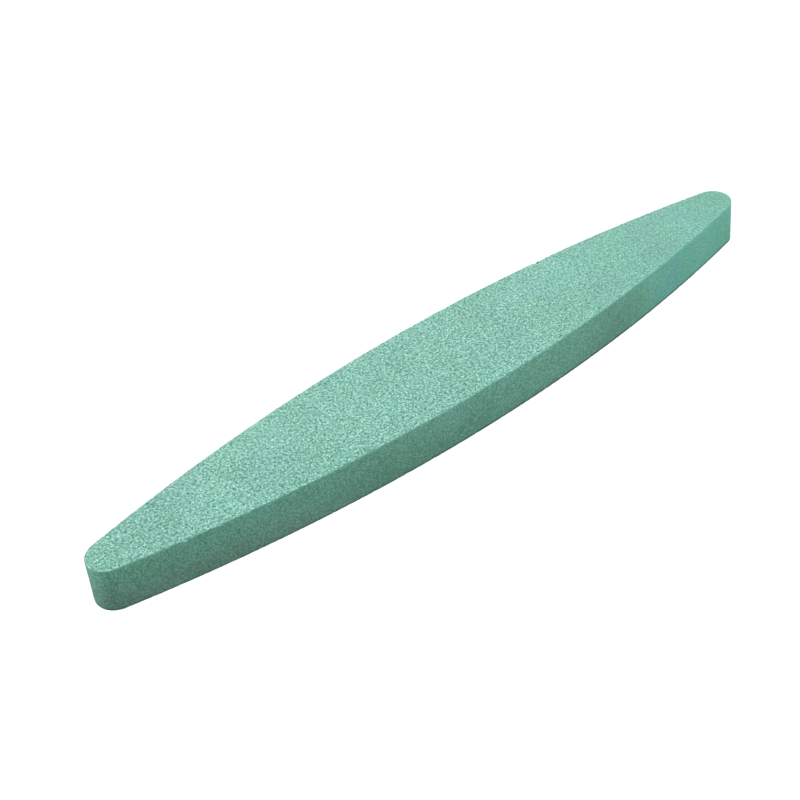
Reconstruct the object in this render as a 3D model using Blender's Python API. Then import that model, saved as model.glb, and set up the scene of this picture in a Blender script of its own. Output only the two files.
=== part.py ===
"""Boat-shaped sharpening whetstone: one pressed and fired bar of abrasive grain.

The stone is a single solid. Its plan is a slim boat: two long circular sides
that run into a small round at each end. It has the same thickness all over, with
flat faces above and below. Its side leans in a little towards the top, which let
the pressed bar out of its mould.

Frame: +X along the stone, +Y across it, +Z up. The origin is the centre of the
face that the stone rests on. Lengths are in metres.
"""

import math

import bmesh
import bpy
from mathutils import Vector

# Driving dimensions; the plan is that of the rest face, the larger of the two
LENGTH = 0.225
WIDTH = 0.0355
THICKNESS = 0.0132
END_RADIUS = 0.006
DRAFT = 0.0005  # how far the honing face lies inside the rest face, all round
ARRIS_WIDTH = 0.0003  # the rubbed edge between a flat face and the side

# Facets
SIDE_STEPS = 72
END_STEPS = 28
ARRIS_STEPS = 2
SHARP_ANGLE = math.radians(30)

# The colour and finish of fired green silicon carbide
STONE_COLOUR = (0.235, 0.455, 0.375, 1.0)
STONE_ROUGHNESS = 0.9


def clear_scene():
    """Removes every object, so that the model starts from nothing."""
    for obj in list(bpy.data.objects):
        bpy.data.objects.remove(obj)


def side_radius():
    """Radius of a long side whose arc touches both end rounds without a corner.

    The centre of the side lies on the Y axis, at side_radius - WIDTH / 2 beyond the
    middle. The end round lies inside the side's circle, so the two centres are
    side_radius - END_RADIUS apart.
    """
    end_centre = LENGTH / 2 - END_RADIUS
    half_width = WIDTH / 2
    squares = end_centre**2 + half_width**2 - END_RADIUS**2
    return squares / (WIDTH - 2 * END_RADIUS)


def arc_points(centre, radius, start, end, steps):
    """Points along an arc, without its last one, where the next arc starts."""
    points = []
    for step in range(steps):
        angle = start + (end - start) * step / steps
        direction = Vector((math.cos(angle), math.sin(angle)))
        points.append(Vector(centre) + radius * direction)
    return points


def plan_outline(inset):
    """The boat outline moved inwards, anticlockwise from the start of the round at +X."""
    long_radius = side_radius()
    side_centre = long_radius - WIDTH / 2
    end_centre = LENGTH / 2 - END_RADIUS
    quarter = math.pi / 2
    # How far the side turns between the middle of the stone and its end round
    sweep = math.atan2(end_centre, side_centre)
    end_turn = quarter - sweep
    arcs = (
        ((end_centre, 0), END_RADIUS, -end_turn, end_turn, END_STEPS),
        ((0, -side_centre), long_radius, end_turn, math.pi - end_turn, SIDE_STEPS),
        ((-end_centre, 0), END_RADIUS, math.pi - end_turn, math.pi + end_turn, END_STEPS),
        ((0, side_centre), long_radius, math.pi + end_turn, 2 * math.pi - end_turn, SIDE_STEPS),
    )
    outline = []
    for centre, radius, start, end, steps in arcs:
        outline += arc_points(centre, radius - inset, start, end, steps)
    return outline


def stone_mesh():
    """The rest face, the smaller honing face above it and the side between them."""
    bm = bmesh.new()
    lower = [bm.verts.new((point.x, point.y, 0)) for point in plan_outline(0)]
    upper = [bm.verts.new((point.x, point.y, THICKNESS)) for point in plan_outline(DRAFT)]
    bm.faces.new(lower)
    bm.faces.new(upper)
    for index in range(len(lower)):
        # Index -1 is the last point, so the side closes on itself
        bm.faces.new((lower[index - 1], lower[index], upper[index], upper[index - 1]))
    bmesh.ops.recalc_face_normals(bm, faces=bm.faces)
    mesh = bpy.data.meshes.new("whetstone")
    bm.to_mesh(mesh)
    bm.free()
    mesh.shade_smooth()
    mesh.set_sharp_from_angle(angle=SHARP_ANGLE)
    return mesh


def stone_material():
    """Matt green abrasive, with no coating and no gloss."""
    material = bpy.data.materials.new("green_silicon_carbide")
    material.use_nodes = True
    shader = material.node_tree.nodes["Principled BSDF"]
    shader.inputs["Base Color"].default_value = STONE_COLOUR
    shader.inputs["Roughness"].default_value = STONE_ROUGHNESS
    shader.inputs["Metallic"].default_value = 0.0
    return material


def add_whetstone():
    """The stone itself, with its two rims rubbed down to a narrow arris."""
    mesh = stone_mesh()
    mesh.materials.append(stone_material())
    stone = bpy.data.objects.new("whetstone", mesh)
    bpy.context.scene.collection.objects.link(stone)
    arris = stone.modifiers.new("arris", "BEVEL")
    arris.width = ARRIS_WIDTH
    arris.segments = ARRIS_STEPS
    arris.limit_method = "ANGLE"
    arris.angle_limit = SHARP_ANGLE
    return stone


clear_scene()
add_whetstone()
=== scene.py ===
"""Looks of a boat-shaped sharpening whetstone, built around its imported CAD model.

The stone is one pressed and fired bar of green silicon carbide grain. Here its
whole surface is a fine closed mesh: jittered points on the two honing faces and on
the side, each moved like a grain in a worn surface, with crumbled arrises and a few
chips. The CAD node gives the length, width and thickness.
"""

import math

import bpy
import numpy as np
from mathutils import Matrix, Vector
from mathutils.geometry import delaunay_2d_cdt


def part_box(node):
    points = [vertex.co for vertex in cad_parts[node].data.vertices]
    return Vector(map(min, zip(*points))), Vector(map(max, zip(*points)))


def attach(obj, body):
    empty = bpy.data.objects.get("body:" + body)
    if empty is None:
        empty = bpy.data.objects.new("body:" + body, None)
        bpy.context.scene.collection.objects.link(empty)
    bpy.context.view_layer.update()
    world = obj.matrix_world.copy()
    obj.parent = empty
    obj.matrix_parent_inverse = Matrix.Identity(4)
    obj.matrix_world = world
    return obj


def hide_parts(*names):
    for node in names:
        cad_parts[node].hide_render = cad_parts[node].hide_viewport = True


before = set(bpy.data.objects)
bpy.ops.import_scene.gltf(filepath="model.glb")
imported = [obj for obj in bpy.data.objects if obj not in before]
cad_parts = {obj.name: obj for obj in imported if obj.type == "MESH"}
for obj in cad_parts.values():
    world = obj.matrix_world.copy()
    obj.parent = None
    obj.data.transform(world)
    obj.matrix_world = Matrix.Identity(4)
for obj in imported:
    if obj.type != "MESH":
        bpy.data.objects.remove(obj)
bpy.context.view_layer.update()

MM = 0.001
SEED = 20

# Size of the stone: its box is the CAD node's, and the ends and the draft are set here
NODE = "whetstone"
stone_low, stone_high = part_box(NODE)
LENGTH, WIDTH, THICKNESS = stone_high - stone_low
END_RADIUS = 6.0 * MM
DRAFT = 0.5 * MM  # how far the side leans in between the rest face and the top

# The boat outline: two long sides that touch the two end rounds without a corner
END_CENTRE = LENGTH / 2 - END_RADIUS
SIDE_RADIUS = (END_CENTRE**2 + WIDTH**2 / 4 - END_RADIUS**2) / (WIDTH - 2 * END_RADIUS)
SIDE_CENTRE = SIDE_RADIUS - WIDTH / 2
SIDE_SWEEP = math.atan2(END_CENTRE, SIDE_CENTRE)

# Spacing of the surface points
TOP_PITCH = 0.42 * MM
UNDER_PITCH = 0.55 * MM
SIDE_PITCH = 0.45 * MM
JITTER = 0.3  # of the pitch, each way
RIM_GAP = 0.7  # of the pitch, between a flat face's rim and its inner points
ARRIS = 0.10 * MM  # width of the cut between a flat face and the side

# Relief of the grain, and low waves in the flat faces
FACE_GRAIN = 0.022 * MM
SIDE_GRAIN = 0.012 * MM
GRAIN_SPREAD = 0.45
FACE_WAVES = 0.020 * MM
FACE_WAVELENGTH = 9 * MM

# Pits where a grain has been lost
FACE_PIT_SHARE = 0.012
SIDE_PIT_SHARE = 0.4 * FACE_PIT_SHARE
PIT_DEPTH = 0.12 * MM
SHALLOWEST_PIT = 0.4  # of that depth
PIT_CLEARANCE = 0.6 * MM  # from the arris

# Crumbling of the arrises: how much of it there is everywhere, in patches and from
# point to point, and the most that one point can have
CRUMBLE_DEPTH = 0.045 * MM
CRUMBLE_REACH = 0.45 * MM
CRUMBLE_WAVELENGTH = 1.5 * MM
CRUMBLE_EVERYWHERE = 0.3
CRUMBLE_IN_PATCHES = 0.6
CRUMBLE_BY_POINT = 0.5
CRUMBLE_MOST = 1.8
CRUMBLE_MIDDLE = 4 * MM  # nearer the middle of the width, points move across less

# Hollows chipped out of the arrises, in mm: place along the stone, side (1 far, -1 near),
# level (1 top, 0 bottom), and half the length, width and height. The first two make one
# notch
CHIP_ROUGHNESS = 0.12
CHIPS = (
    (46.8, 1, 1, 1.1, 1.2, 0.6),
    (49.0, 1, 1, 2.0, 0.30, 0.3),
    (-90.0, -1, 1, 0.8, 0.65, 0.7),
    (18.2, 1, 0, 1.1, 0.5, 0.5),
    (-38.0, 1, 0, 1.4, 0.6, 0.6),
    (-88.0, 1, 1, 0.6, 0.4, 0.4),
    (81.0, 1, 0, 0.7, 0.4, 0.5),
)


# --- the outline ---------------------------------------------------------------


def plan_arcs():
    """The rest face's four arcs, anticlockwise: centre, radius, first angle and turn."""
    end_turn = math.pi / 2 - SIDE_SWEEP
    return (
        ((END_CENTRE, 0), END_RADIUS, -end_turn, 2 * end_turn),
        ((0, -SIDE_CENTRE), SIDE_RADIUS, end_turn, 2 * SIDE_SWEEP),
        ((-END_CENTRE, 0), END_RADIUS, math.pi - end_turn, 2 * end_turn),
        ((0, SIDE_CENTRE), SIDE_RADIUS, math.pi + end_turn, 2 * SIDE_SWEEP),
    )


def plan_length():
    return sum(radius * turn for _, radius, _, turn in plan_arcs())


def plan_points(along):
    """The points at these distances round the rest face, and the outward directions."""
    arcs = plan_arcs()
    starts = np.cumsum([0] + [radius * turn for _, radius, _, turn in arcs])
    along = along % starts[-1]
    arc = np.searchsorted(starts, along, side="right") - 1
    centre = np.array([centre for centre, _, _, _ in arcs])[arc]
    radius = np.array([radius for _, radius, _, _ in arcs])[arc]
    first = np.array([first for _, _, first, _ in arcs])[arc]
    angle = first + (along - starts[arc]) / radius
    outward = np.stack((np.cos(angle), np.sin(angle)), axis=1)
    return centre + radius[:, None] * outward, outward


def depth_inside(points):
    """How far each point of the plan is inside the rest face; negative if outside."""
    x, y = np.abs(points).T
    from_side = SIDE_RADIUS - np.hypot(x, y + SIDE_CENTRE)
    from_end = END_RADIUS - np.hypot(x - END_CENTRE, y)
    by_the_side = np.arctan2(x, y + SIDE_CENTRE) < SIDE_SWEEP
    return np.where(by_the_side, from_side, from_end)


def side_inset(height):
    """How far the side has leaned in at this height."""
    return DRAFT * height / THICKNESS


# --- points and faces of the closed surface --------------------------------------


def face_points(pitch, inset, random):
    """Jittered points in a triangular pattern over a flat face, clear of its rim."""
    row_pitch = pitch * math.sqrt(3) / 2
    columns = int(LENGTH / pitch) + 2
    rows = int(WIDTH / row_pitch) + 2
    column, row = np.meshgrid(np.arange(columns), np.arange(rows))
    x = (column - columns / 2 + row % 2 / 2) * pitch
    y = (row - rows / 2) * row_pitch
    points = np.stack((x.ravel(), y.ravel()), axis=1)
    points += random.uniform(-JITTER, JITTER, points.shape) * pitch
    return points[depth_inside(points) > inset + pitch * RIM_GAP]


def fill_face(ring, inner):
    """Triangles that fill the ring, using the ring's points and the inner ones."""
    points = [Vector(point) for point in np.concatenate((ring, inner)) / MM]
    count = len(ring)
    edges = [(index, (index + 1) % count) for index in range(count)]
    inside_only = 1
    merge_distance = 1e-6
    result = delaunay_2d_cdt(points, edges, [], inside_only, merge_distance)
    if len(result[0]) != len(points):
        raise ValueError("the flat face lost or gained points")
    return np.array(result[2])


def band(lower, upper, random):
    """Triangles between two rings of points, with each square cut at random one of two ways."""
    a, d = lower, upper
    b, c = np.roll(lower, -1), np.roll(upper, -1)
    rising = random.random(len(lower)) < 0.5
    first = np.where(rising[:, None], np.stack((a, b, c), 1), np.stack((a, b, d), 1))
    second = np.where(rising[:, None], np.stack((a, c, d), 1), np.stack((b, c, d), 1))
    return np.concatenate((first, second))


def smooth_surface(random):
    """Points and triangles of the closed stone before any wear.

    Also gives, for each point, its outward direction, the share of it that is flat
    face, and its distance from the nearest arris.
    """
    columns = round(plan_length() / SIDE_PITCH)
    rows = round((THICKNESS - 2 * ARRIS) / SIDE_PITCH) + 1
    side_heights = np.linspace(ARRIS, THICKNESS - ARRIS, rows)
    row_pitch = side_heights[1] - side_heights[0]

    # The side, row by row from the bottom, between two rings on the flat faces. Each ring
    # has a height, an inset and the way its points face: -1 down, 0 out or 1 up
    rings = [(0, ARRIS, -1)]
    rings += [(height, side_inset(height), 0) for height in side_heights]
    rings += [(THICKNESS, DRAFT + ARRIS, 1)]
    points, directions, honed = [], [], []
    for number, (height, inset, facing) in enumerate(rings):
        jitter_along, jitter_up = random.uniform(-JITTER, JITTER, (2, columns))
        beside_an_arris = number in (0, 1, len(rings) - 2, len(rings) - 1)
        if beside_an_arris:
            jitter_up[:] = 0
        along = (np.arange(columns) + jitter_along) * plan_length() / columns
        outline, outward = plan_points(along)
        plan = outline - inset * outward
        points.append(np.column_stack((plan, height + jitter_up * row_pitch)))
        up = np.full(columns, float(facing))
        directions.append(np.column_stack((outward * (1 - abs(facing)), up)))
        honed.append(np.full(columns, abs(facing)))
    ring_of = np.arange(len(rings) * columns).reshape(len(rings), columns)
    triangles = [band(low, high, random) for low, high in zip(ring_of, ring_of[1:])]

    # The two flat faces
    rest_ring, top_ring = points[0], points[-1]
    for pitch, ring, facing, names in (
        (UNDER_PITCH, rest_ring, -1, ring_of[0]),
        (TOP_PITCH, top_ring, 1, ring_of[-1]),
    ):
        height = ring[0, 2]
        inner = face_points(pitch, side_inset(height) + ARRIS, random)
        start = sum(len(part) for part in points)
        filled = fill_face(ring[:, :2], inner)
        names = np.concatenate((names, start + np.arange(len(inner))))
        triangles.append(names[filled][:, ::facing])
        points.append(np.column_stack((inner, np.full(len(inner), height))))
        directions.append(np.tile((0.0, 0.0, facing), (len(inner), 1)))
        honed.append(np.ones(len(inner)))

    points = np.concatenate(points)
    honed = np.concatenate(honed)
    in_plan = depth_inside(points[:, :2]) - side_inset(points[:, 2])
    in_height = np.minimum(points[:, 2], THICKNESS - points[:, 2])
    rim = np.where(honed > 0, in_plan, in_height)
    return points, np.concatenate(triangles), np.concatenate(directions), honed, rim


# --- wear ---------------------------------------------------------------------------


def waves(points, wavelength, random):
    """A smooth random field of about unit height, from waves in random directions."""
    count = 48
    shortest, longest = 0.7, 1.6  # of the wavelength
    directions = random.normal(size=(count, 3))
    directions /= np.linalg.norm(directions, axis=1, keepdims=True)
    lengths = wavelength * random.uniform(shortest, longest, count)
    phases = random.uniform(0, 2 * math.pi, count)
    angle = points @ (directions * (2 * math.pi / lengths[:, None])).T + phases
    return np.cos(angle).sum(axis=1) * math.sqrt(2 / count)


def crumble(points, rim, random):
    """Moves the points near an arris in towards the middle of the section, in places."""
    near_rim = np.exp(-((rim / CRUMBLE_REACH) ** 2))
    patches = waves(points, CRUMBLE_WAVELENGTH, random)
    loose = CRUMBLE_EVERYWHERE + CRUMBLE_IN_PATCHES * patches
    loose += CRUMBLE_BY_POINT * random.normal(size=len(points))
    loss = CRUMBLE_DEPTH * near_rim * np.clip(loose, 0, CRUMBLE_MOST)
    off_middle = np.minimum(np.abs(points[:, 1]) / CRUMBLE_MIDDLE, 1)
    inwards = -np.sign(points[:, 1]) * off_middle
    upwards = np.sign(THICKNESS / 2 - points[:, 2])
    moves = np.column_stack((np.zeros(len(points)), inwards * loss, upwards * loss))
    return points + moves


def chip(points, place, side, level, size, random):
    """Pushes the arris in, to the surface of a rough hollow of this half size."""
    nearest = 0.05  # keeps a point at the hollow's centre from being divided by zero
    inset = level * DRAFT
    y = side * (math.sqrt((SIDE_RADIUS - inset) ** 2 - place**2) - SIDE_CENTRE)
    centre = np.array((place, y, level * THICKNESS))
    offset = (points - centre) / size
    reach = np.linalg.norm(offset, axis=1)
    rough = 1 + CHIP_ROUGHNESS * random.normal(size=len(points))
    outwards = offset / np.maximum(reach, nearest)[:, None]
    pushed = centre + outwards * size * rough[:, None]
    # Only inwards: the hollow's outer half is in the air
    pushed[:, 1] = side * np.minimum(side * pushed[:, 1], side * points[:, 1])
    low, high = (0, points[:, 2]) if level else (points[:, 2], THICKNESS)
    pushed[:, 2] = np.clip(pushed[:, 2], low, high)
    return np.where((reach < 1)[:, None], pushed, points)


def wear(points, directions, honed, rim, random):
    """Moves every point inwards like the grain of a worn stone.

    Returns the new points and each grain's height, from -1 (a pit) to 1 (proud).
    """
    grain = np.clip(random.normal(0, GRAIN_SPREAD, len(points)), -1, 1)
    on_side = honed == 0
    depth = np.where(on_side, SIDE_GRAIN, FACE_GRAIN) * (1 - grain)
    depth += FACE_WAVES * (1 + 0.5 * waves(points, FACE_WAVELENGTH, random)) * honed
    lost = random.random(len(points)) < np.where(on_side, SIDE_PIT_SHARE, FACE_PIT_SHARE)
    lost &= rim > PIT_CLEARANCE
    depth += lost * PIT_DEPTH * random.uniform(SHALLOWEST_PIT, 1, len(points))
    grain = np.where(lost, -1, grain)
    worn = points - directions * np.maximum(depth, 0)[:, None]
    worn = crumble(worn, rim, random)
    for place, side, level, *size in CHIPS:
        worn = chip(worn, place * MM, side, level, np.array(size) * MM, random)
    return worn, grain


def whetstone_mesh():
    """The worn stone as one closed mesh, with its grain kept as attributes."""
    random = np.random.default_rng(SEED)
    points, triangles, directions, honed, rim = smooth_surface(random)
    worn, grain = wear(points, directions, honed, rim, random)
    mesh = bpy.data.meshes.new("whetstone_body")
    mesh.from_pydata(worn.tolist(), [], triangles.tolist())
    for name, values in (("grain", grain), ("honed", honed)):
        attribute = mesh.attributes.new(name, "FLOAT", "POINT")
        attribute.data.foreach_set("value", values.astype(np.float32))
    mesh.update()
    mesh.validate()
    return mesh


# --- the material ---------------------------------------------------------------------


class Nodes:
    """Short ways to add and join the nodes of one material."""

    def __init__(self, material):
        material.use_nodes = True
        self.tree = material.node_tree
        self.shader = self.tree.nodes["Principled BSDF"]

    def add(self, kind, inputs=(), **settings):
        node = self.tree.nodes.new("ShaderNode" + kind)
        for name, value in settings.items():
            setattr(node, name, value)
        for socket, value in dict(inputs).items():
            self.set(node.inputs[socket], value)
        return node

    def set(self, socket, value):
        """Joins an output to the socket, or gives it a plain value."""
        if isinstance(value, bpy.types.NodeSocket):
            self.tree.links.new(value, socket)
        else:
            socket.default_value = value

    def math(self, operation, *values):
        node = self.add("Math", dict(enumerate(values)), operation=operation)
        return node.outputs[0]

    def mix(self, factor, first, second):
        node = self.add("Mix", data_type="RGBA")
        self.set(node.inputs["Factor"], factor)
        self.set(node.inputs["A"], first)
        self.set(node.inputs["B"], second)
        return node.outputs["Result"]

    def between(self, value, low, high, to_low=0.0, to_high=1.0):
        """Maps value from low..high to to_low..to_high, held at both ends."""
        values = {"Value": value, "From Min": low, "From Max": high}
        values |= {"To Min": to_low, "To Max": to_high}
        return self.add("MapRange", values, clamp=True).outputs["Result"]

    def attribute(self, name):
        return self.add("Attribute", attribute_name=name).outputs["Fac"]

    def cells(self, place, size, dimensions="3D"):
        """The outputs of irregular cells of this size."""
        inputs = {"Vector": place, "Scale": 1 / size}
        return self.add("TexVoronoi", inputs, voronoi_dimensions=dimensions).outputs

    def noise(self, place, size, detail, dimensions="3D"):
        inputs = {"Vector": place, "Scale": 1 / size, "Detail": detail}
        return self.add("TexNoise", inputs, noise_dimensions=dimensions).outputs["Fac"]

    def channel(self, colour, name):
        return self.add("SeparateColor", {"Color": colour}).outputs[name]


class StoneNodes(Nodes):
    """The nodes of the stone, with the places and the share of flat face they start from."""

    def __init__(self, material):
        super().__init__(material)
        self.place = self.add("TexCoord").outputs["Object"]
        split = self.add("SeparateXYZ", {"Vector": self.place}).outputs
        self.along, self.across, self.height = split
        self.honed = self.attribute("honed")

    def by_surface(self, on_side, on_face):
        """One value on the side and another on the two flat faces."""
        return self.between(self.honed, 0, 1, on_side, on_face)


# The body's colours
FACE_COLOUR = (0.151, 0.388, 0.303, 1)
# The next colour is painted light, mixed into the flat faces towards +Y
FAR_PAINTED_LIGHT_COLOUR = (0.300, 0.550, 0.440, 1)
# The side's colour is darker and more saturated than the faces': partly its own colour, partly
# painted shade for a side lit less than the top
SIDE_COLOUR = (0.113, 0.307, 0.219, 1)
SIDE_END_COLOUR = (0.108, 0.374, 0.279, 1)
FOOT_COLOUR = (0.142, 0.300, 0.226, 1)
BLUE_TINT = (0.155, 0.390, 0.390, 1)
BLUE_PATCH_COLOUR = (0.107, 0.345, 0.320, 1)

# Where on the side they change, each from its first place to its second. The blue patch
# has a centre, and fades between two distances from it
FRESH_END = (55 * MM, 74 * MM)
GREY_HALF = (-60 * MM, -35 * MM)
FOOT_HEIGHTS = (0.15 * THICKNESS, 0.7 * THICKNESS)
BLUE_PATCH = (75 * MM, -12 * MM, 4.5 * MM)
BLUE_PATCH_REACH = (2 * MM, 10 * MM)
BLUE_PATCH_STRENGTH = 0.65

# Painted light on the flat faces, which are paler towards +Y, and the slow drift to
# blue: its most on the side and on a face
MOST_FAR_PAINTED_LIGHT = 0.2
TINT_SIZE = 11 * MM
TINT_RANGE = (0.45, 0.75)
TINT_LIMITS = (0.2, 0.35)

# The grain: sizes of the cells, the clumps and the ripples
CELL_SIZE = 0.28 * MM
FINE_SIZE = 0.19 * MM
CLUMP_SIZE = 0.60 * MM
FLAT_CLUMP_SIZE = 0.70 * MM
RIPPLE_SIZE = 0.66 * MM

# Where a clump starts to fade and where it ends, as shares of its size, and the levels
# of the clumps and ripples on the flat faces
CLUMP_FADE = (0.15, 0.70)
FLAT_CLUMP_FADE = (0.10, 0.60)
FLAT_CLUMP_LEVELS = (0.6, 1.4)
FLAT_CLUMP_WEIGHT = 0.70
RIPPLE_RANGE = (0.25, 0.75)
RIPPLE_LEVELS = (-0.21, 0.56)

# What each part adds to the speckle; the last is the grain of the mesh
CELL_SHARE = 0.31
FINE_SHARE = 0.33
CLUMP_SHARE = 0.30
GRAIN_SHARE = 0.06

# Speckle values from no light grain to all light, and from no dark grain to all dark
LIGHT_RANGE = (0.42, 0.88)
DARK_RANGE = (0.44, 0.03)
LIGHT_GRAIN = (0.580, 0.880, 0.790, 1)
SIDE_LIGHT_GRAIN = (0.360, 0.820, 0.680, 1)
DARK_GRAIN = (0.020, 0.100, 0.075, 1)
GRAIN_STRENGTHS = (0.46, 0.82)  # on the side and on a flat face
PALE_END = (20 * MM, 110 * MM)
PALE_END_STRENGTH = 0.45

# Shade: 1 leaves the colour as it is
DRIFT_SIZE = 14 * MM
DRIFT_RANGE = (0.3, 0.7)
DRIFT_SHADES = (0.94, 1.06)
# Painted shade and light on the side: darker towards its foot, most towards -X, and lighter
# towards its top
PAINTED_FOOT_SHADE_PLACES = (-90 * MM, 70 * MM)
PAINTED_FOOT_SHADES = (0.73, 0.89)
PAINTED_TOP_LIGHT = 1.12
# A painted contact shadow: a thin dark line along the bottom arris, darkest towards +X
CONTACT_SHADOW_HEIGHTS = (0.35 * MM, 0.95 * MM)
CONTACT_SHADOW_PLACES = (-80 * MM, 10 * MM)
CONTACT_SHADOW_SHADES = (0.85, 0.42)
DULL_STRETCH = 49 * MM
DULL_REACH = (6 * MM, 18 * MM)
DULL_SHADE = 0.91
DULL_END = (-100 * MM, -75 * MM)
DULL_END_SHADE = 0.95

# Small blotches of hue, where 0.5 leaves the hue as it is
BLOTCH_SIZE = 1.8 * MM
BLOTCH_RANGE = (0.3, 0.7)
BLOTCH_HUES = (0.491, 0.509)

# Surface
FINE_RELIEF = 0.6
BUMP_STRENGTH = 0.5
BUMP_HEIGHT = 0.03 * MM
ROUGH_RANGE = (0.2, 0.9)
ROUGHNESSES = (0.95, 0.7)
SPECULAR_LEVEL = 0.35


def clumps_of_grain(nodes):
    """Clumps of one level on the side, and of varied levels with ripples on a flat face."""
    distance = nodes.cells(nodes.place, CLUMP_SIZE)["Distance"]
    side_clump = nodes.between(distance, *CLUMP_FADE, 1, 0)
    flat = nodes.cells(nodes.place, FLAT_CLUMP_SIZE, "2D")
    level = nodes.between(nodes.channel(flat["Color"], "Blue"), 0, 1, *FLAT_CLUMP_LEVELS)
    flat_clump = nodes.between(flat["Distance"], *FLAT_CLUMP_FADE, level, 0)
    ripple = nodes.noise(nodes.place, RIPPLE_SIZE, 0.0, "2D")
    ripple = nodes.between(ripple, *RIPPLE_RANGE, *RIPPLE_LEVELS)
    flat_clump = nodes.math("MULTIPLY_ADD", flat_clump, FLAT_CLUMP_WEIGHT, ripple)
    return nodes.by_surface(side_clump, flat_clump)


def body_colour(nodes):
    """The colour under the grain, which differs on the side and on the flat faces."""
    # The side is fresher green at its +X end, greyer at the foot of its -X half, and
    # bluish in one patch
    at_fresh_end = nodes.between(nodes.along, *FRESH_END)
    side = nodes.mix(at_fresh_end, SIDE_COLOUR, SIDE_END_COLOUR)
    in_grey_half = nodes.between(nodes.along, *GREY_HALF, 1, 0)
    low = nodes.between(nodes.height, *FOOT_HEIGHTS, 1, 0)
    side = nodes.mix(nodes.math("MULTIPLY", in_grey_half, low), side, FOOT_COLOUR)
    ends = {0: nodes.place, 1: BLUE_PATCH}
    off_patch = nodes.add("VectorMath", ends, operation="DISTANCE").outputs["Value"]
    in_patch = nodes.between(off_patch, *BLUE_PATCH_REACH, BLUE_PATCH_STRENGTH, 0)
    side = nodes.mix(in_patch, side, BLUE_PATCH_COLOUR)
    # The flat faces are a little paler towards +Y: painted light
    far_painted_light = nodes.between(nodes.across, -WIDTH / 2, WIDTH / 2, 0, MOST_FAR_PAINTED_LIGHT)
    base = nodes.mix(nodes.honed, side, nodes.mix(far_painted_light, FACE_COLOUR, FAR_PAINTED_LIGHT_COLOUR))
    # All of it drifts a little between green and blue
    tint = nodes.noise(nodes.place, TINT_SIZE, 1.0)
    blueness = nodes.between(tint, *TINT_RANGE, 0, nodes.by_surface(*TINT_LIMITS))
    return nodes.mix(blueness, base, BLUE_TINT)


def add_grain(nodes, base, speckle):
    """Light and dark grain over the base, most on the flat faces and least towards +X."""
    fading = nodes.between(nodes.along, *PALE_END, 1.0, PALE_END_STRENGTH)
    strength = nodes.math("MULTIPLY", nodes.by_surface(*GRAIN_STRENGTHS), fading)
    light = nodes.math("MULTIPLY", nodes.between(speckle, *LIGHT_RANGE), strength)
    dark = nodes.math("MULTIPLY", nodes.between(speckle, *DARK_RANGE), strength)
    light_grain = nodes.mix(nodes.honed, SIDE_LIGHT_GRAIN, LIGHT_GRAIN)
    return nodes.mix(dark, nodes.mix(light, base, light_grain), DARK_GRAIN)


def shade_of(nodes):
    """How much lighter or darker each place is made, with painted shade and light on the side.
    """
    drift = nodes.noise(nodes.place, DRIFT_SIZE, 3.0)
    drift = nodes.between(drift, *DRIFT_RANGE, *DRIFT_SHADES)
    # The side darkens towards its foot and lightens towards its top, painted shade and light,
    # with a thin dark line along the bottom arris, a painted contact shadow, that fades
    # towards -X, and is duller in one stretch
    painted_foot_shade = nodes.between(nodes.along, *PAINTED_FOOT_SHADE_PLACES, *PAINTED_FOOT_SHADES)
    foot = nodes.between(nodes.height, 0, THICKNESS, painted_foot_shade, PAINTED_TOP_LIGHT)
    # The dark line along the bottom arris is a painted contact shadow
    contact_shadow_shade = nodes.between(nodes.along, *CONTACT_SHADOW_PLACES, *CONTACT_SHADOW_SHADES)
    line = nodes.between(nodes.height, *CONTACT_SHADOW_HEIGHTS, contact_shadow_shade, 1)
    from_stretch = nodes.math("SUBTRACT", nodes.along, DULL_STRETCH)
    from_stretch = nodes.math("ABSOLUTE", from_stretch)
    dull = nodes.between(from_stretch, *DULL_REACH, DULL_SHADE, 1)
    side = nodes.math("MULTIPLY", nodes.math("MULTIPLY", foot, line), dull)
    # The flat faces are duller at the -X end
    face = nodes.between(nodes.along, *DULL_END, DULL_END_SHADE, 1)
    return nodes.math("MULTIPLY", drift, nodes.by_surface(side, face))


def stone_material():
    """Fired green silicon carbide: light and dark grains in a matt, sandy body."""
    material = bpy.data.materials.new("fired_silicon_carbide")
    nodes = StoneNodes(material)

    # The speckle, from dark grain at low values to light grain at high ones
    cell = nodes.channel(nodes.cells(nodes.place, CELL_SIZE)["Color"], "Red")
    fine = nodes.channel(nodes.cells(nodes.place, FINE_SIZE)["Color"], "Green")
    speckle = nodes.math("MULTIPLY", fine, FINE_SHARE)
    speckle = nodes.math("MULTIPLY_ADD", cell, CELL_SHARE, speckle)
    speckle = nodes.math("MULTIPLY_ADD", clumps_of_grain(nodes), CLUMP_SHARE, speckle)
    grain = nodes.attribute("grain")
    speckle = nodes.math("MULTIPLY_ADD", grain, GRAIN_SHARE, speckle)

    colour = add_grain(nodes, body_colour(nodes), speckle)
    blotches = nodes.noise(nodes.place, BLOTCH_SIZE, 1.0)
    hue = nodes.between(blotches, *BLOTCH_RANGE, *BLOTCH_HUES)
    toning = {"Hue": hue, "Value": shade_of(nodes), "Color": colour}
    toned = nodes.add("HueSaturation", toning).outputs["Color"]
    nodes.set(nodes.shader.inputs["Base Color"], toned)

    relief = nodes.math("MULTIPLY_ADD", fine, FINE_RELIEF, cell)
    bump = {"Strength": BUMP_STRENGTH, "Distance": BUMP_HEIGHT, "Height": relief}
    nodes.set(nodes.shader.inputs["Normal"], nodes.add("Bump", bump).outputs["Normal"])
    roughness = nodes.between(speckle, *ROUGH_RANGE, *ROUGHNESSES)
    nodes.set(nodes.shader.inputs["Roughness"], roughness)
    nodes.shader.inputs["Specular IOR Level"].default_value = SPECULAR_LEVEL
    return material


# --- the stage ---------------------------------------------------------------------------

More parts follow.
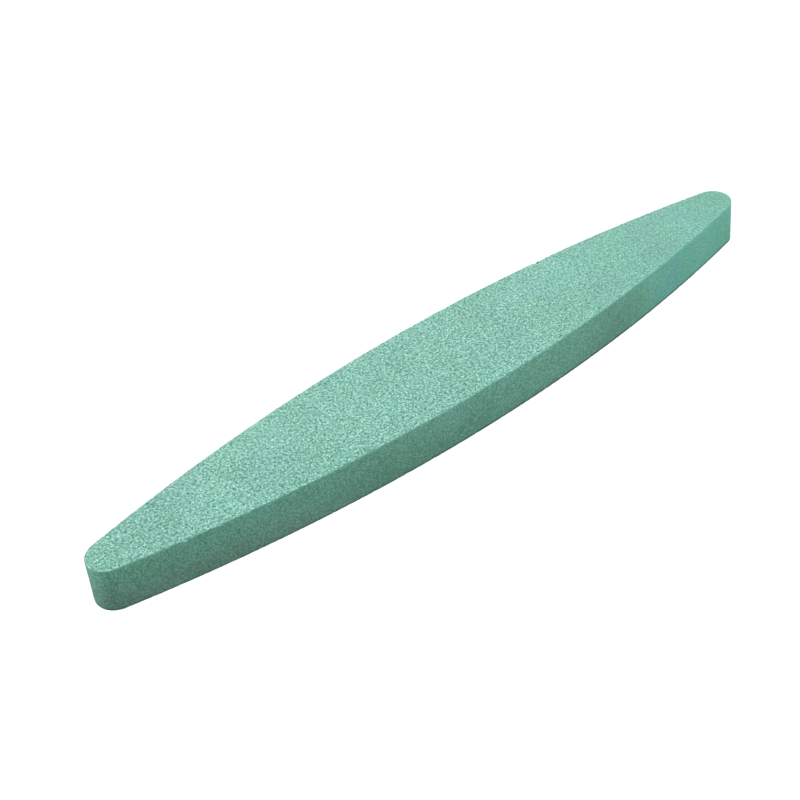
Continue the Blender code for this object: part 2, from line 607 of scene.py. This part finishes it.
FLOOR_SIZE = 8.0
FLOOR_SEEN = (0.96, 0.96, 0.96, 1)
FLOOR_BOUNCE = (0.66, 0.66, 0.66, 1)

# Each lamp's strength and its direction as seen from the stone
KEY_STRENGTH = 3.45
KEY_FROM = (-0.05, -0.12, 1)
KEY_ANGLE = math.radians(18)
RIGHT_STRENGTH = 3.6
RIGHT_FROM = (0.966, -0.259, 0.04)
LEFT_STRENGTH = 2.3
LEFT_FROM = (-0.8, 0.6, 0.06)
FILL_ANGLE = math.radians(20)

WORLD_LIGHT = 0.04
WORLD_SEEN = 1.0


def add_floor():
    """A pale floor that throws less light back on the stone than it shows the camera."""
    half = FLOOR_SIZE / 2
    corners = [(-half, -half, 0), (half, -half, 0), (half, half, 0), (-half, half, 0)]
    mesh = bpy.data.meshes.new("floor")
    mesh.from_pydata(corners, [], [(0, 1, 2, 3)])
    material = bpy.data.materials.new("pale_floor")
    nodes = Nodes(material)
    seen = nodes.add("LightPath").outputs["Is Camera Ray"]
    nodes.set(nodes.shader.inputs["Base Color"], nodes.mix(seen, FLOOR_BOUNCE, FLOOR_SEEN))
    nodes.shader.inputs["Roughness"].default_value = 1.0
    nodes.shader.inputs["Specular IOR Level"].default_value = 0.0
    mesh.materials.append(material)
    floor = bpy.data.objects.new("floor", mesh)
    bpy.context.scene.collection.objects.link(floor)


def add_sun(name, strength, angle, towards):
    """A soft lamp far away in the direction towards, as seen from the stone."""
    lamp = bpy.data.lights.new(name, "SUN")
    lamp.energy = strength
    lamp.angle = angle
    sun = bpy.data.objects.new(name, lamp)
    sun.rotation_euler = Vector(towards).to_track_quat("Z", "Y").to_euler()
    bpy.context.scene.collection.objects.link(sun)


def light_world():
    """A dim studio for light, which looks white where the camera sees it."""
    world = bpy.data.worlds.new("studio")
    world.use_nodes = True
    tree = world.node_tree
    tree.nodes.clear()
    dim = tree.nodes.new("ShaderNodeBackground")
    dim.inputs["Strength"].default_value = WORLD_LIGHT
    white = tree.nodes.new("ShaderNodeBackground")
    white.inputs["Strength"].default_value = WORLD_SEEN
    rays = tree.nodes.new("ShaderNodeLightPath")
    mix = tree.nodes.new("ShaderNodeMixShader")
    output = tree.nodes.new("ShaderNodeOutputWorld")
    for background in (dim, white):
        background.inputs["Color"].default_value = (1, 1, 1, 1)
    tree.links.new(rays.outputs["Is Camera Ray"], mix.inputs[0])
    tree.links.new(dim.outputs[0], mix.inputs[1])
    tree.links.new(white.outputs[0], mix.inputs[2])
    tree.links.new(mix.outputs[0], output.inputs["Surface"])
    bpy.context.scene.world = world


CAMERA_AZIMUTH = math.radians(-34.976)
CAMERA_ELEVATION = math.radians(40.084)
CAMERA_ROLL = math.radians(-6.339)
CAMERA_LENS = 63.76
STONE_IN_VIEW = Vector((13.79, 1.90, -392.08)) * MM  # right, up and back of the lens


def add_camera():
    """The camera stands in front and to the left, tilted a little, with the stone's
    base centre at STONE_IN_VIEW in its own axes."""
    back = Vector((
        math.sin(CAMERA_AZIMUTH) * math.cos(CAMERA_ELEVATION),
        -math.cos(CAMERA_AZIMUTH) * math.cos(CAMERA_ELEVATION),
        math.sin(CAMERA_ELEVATION),
    ))
    right = Vector((0, 0, 1)).cross(back).normalized()
    up = back.cross(right)
    level = Matrix((right, up, back)).transposed()
    turned = level @ Matrix.Rotation(CAMERA_ROLL, 3, "Z")
    data = bpy.data.cameras.new("camera")
    data.lens = CAMERA_LENS
    camera = bpy.data.objects.new("camera", data)
    camera.matrix_world = Matrix.Translation(-(turned @ STONE_IN_VIEW)) @ turned.to_4x4()
    bpy.context.scene.collection.objects.link(camera)
    bpy.context.scene.camera = camera


def add_whetstone():
    mesh = whetstone_mesh()
    mesh.materials.append(stone_material())
    body = bpy.data.objects.new("whetstone_body", mesh)
    bpy.context.scene.collection.objects.link(body)
    mesh.shade_smooth()
    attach(body, "root")
    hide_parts(NODE)


add_whetstone()
add_floor()
add_sun("key", KEY_STRENGTH, KEY_ANGLE, KEY_FROM)
add_sun("right_fill", RIGHT_STRENGTH, FILL_ANGLE, RIGHT_FROM)
add_sun("left_fill", LEFT_STRENGTH, FILL_ANGLE, LEFT_FROM)
light_world()
add_camera()
bpy.context.scene.view_settings.view_transform = "Standard"
